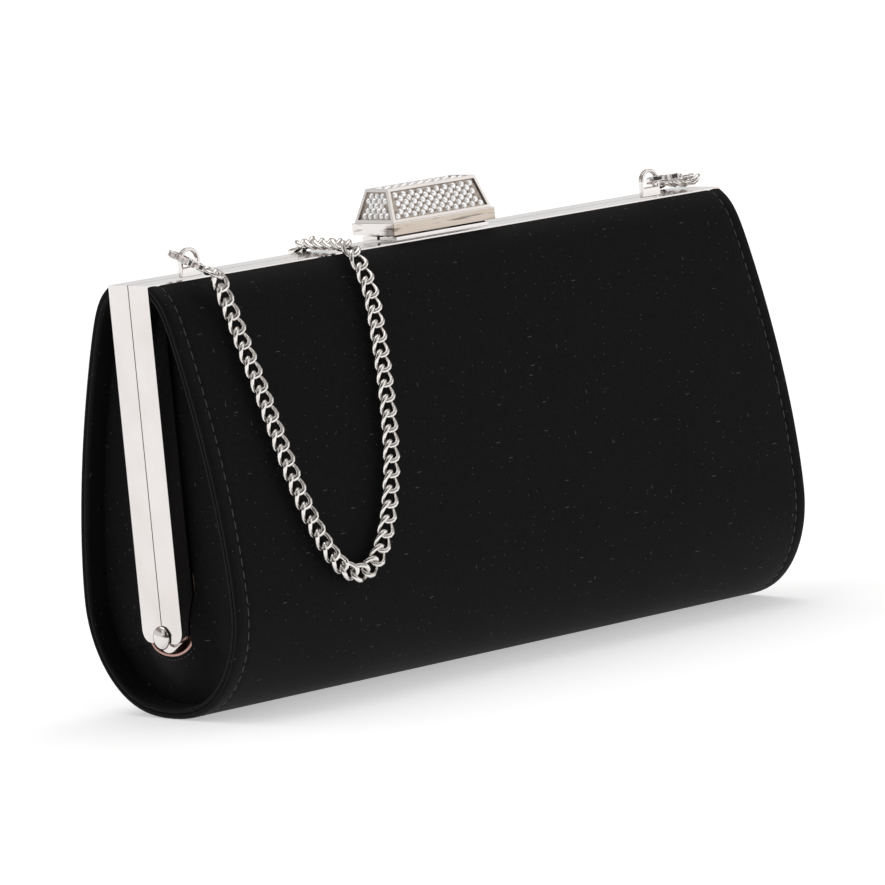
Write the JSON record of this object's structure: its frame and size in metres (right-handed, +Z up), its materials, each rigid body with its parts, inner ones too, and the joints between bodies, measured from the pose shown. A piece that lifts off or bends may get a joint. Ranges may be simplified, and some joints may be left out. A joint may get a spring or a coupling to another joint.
{
  "type": "evening bag",
  "caption": "Small evening bag: rounded fabric shell on a hinged metal frame, with a stone-set pyramid clasp and a fine shoulder chain on lobster clasps.",
  "frame": {"origin": "middle of the flat base the bag stands on", "axes": "+X along the bag's length to its right-hand end seen from the front, -Y towards the front face, +Z up"},
  "size_m": [0.1932, 0.12, 0.119],
  "materials": {
    "satin": "matt black satin with a faint nap",
    "silver": "polished, slightly warm",
    "lining": "nude-pink lining cloth",
    "board": "grey stiffening board",
    "stones": "clear cut stones set close in a silver panel",
    "steel": "plain steel"
  },
  "bodies": {
    "back_half": {"back_board": "board", "back_cover": "satin", "back_frame": "silver", "back_gusset_left": "satin", "back_gusset_right": "satin", "back_lining": "lining", "chain_climb": "silver", "chain_coil": "silver", "chain_fall": "silver", "clasp_base": "silver", "clasp_pin": "steel", "clasp_spring": "steel", "lower_gusset_left": "satin", "lower_gusset_right": "satin", "pivot_rivet_left": "silver", "pivot_rivet_right": "silver"},
    "front_half": {"chain_front": "silver", "chain_lug_left": "silver", "chain_lug_right": "silver", "chain_ring_left": "silver", "chain_ring_right": "silver", "chain_tail": "silver", "front_board": "board", "front_cover": "satin", "front_frame": "silver", "front_gusset_left": "satin", "front_gusset_right": "satin", "front_lining": "lining", "lobster_body_left": "silver", "lobster_body_right": "silver", "striker_plate": "silver", "trigger_pin_left": "steel", "trigger_pin_right": "steel"},
    "clasp": {"clasp_cap": "silver", "latch_nose": "steel", "stone_panel_back": "stones", "stone_panel_front": "stones", "stone_panel_left": "stones", "stone_panel_right": "stones", "stone_panel_top": "stones"},
    "trigger_left": {"lobster_trigger_left": "silver"},
    "trigger_right": {"lobster_trigger_right": "silver"}
  },
  "joints": [
    {"name": "frame_open", "type": "hinge", "parent": "back_half", "child": "front_half", "pos_m": [0, 0, 0.02], "axis": [1, 0, 0], "range_deg": [0, 30]},
    {"name": "clasp_tilt", "type": "hinge", "parent": "back_half", "child": "clasp", "pos_m": [0, 0.0044, 0.1092], "axis": [-1, 0, 0], "range_deg": [0, 18], "stiffness_Nm_per_rad": 0.02},
    {"name": "trigger_left_press", "type": "hinge", "parent": "front_half", "child": "trigger_left", "pos_m": [-0.08312, -0.01021, 0.10975], "axis": [-0.3534, 0.3064, -0.8839], "range_deg": [0, 22], "stiffness_Nm_per_rad": 0.0008},
    {"name": "trigger_right_press", "type": "hinge", "parent": "front_half", "child": "trigger_right", "pos_m": [0.08051, -0.0065, 0.11018], "axis": [-0.0408, -0.1974, -0.9795], "range_deg": [0, 22], "stiffness_Nm_per_rad": 0.0008}
  ]
}
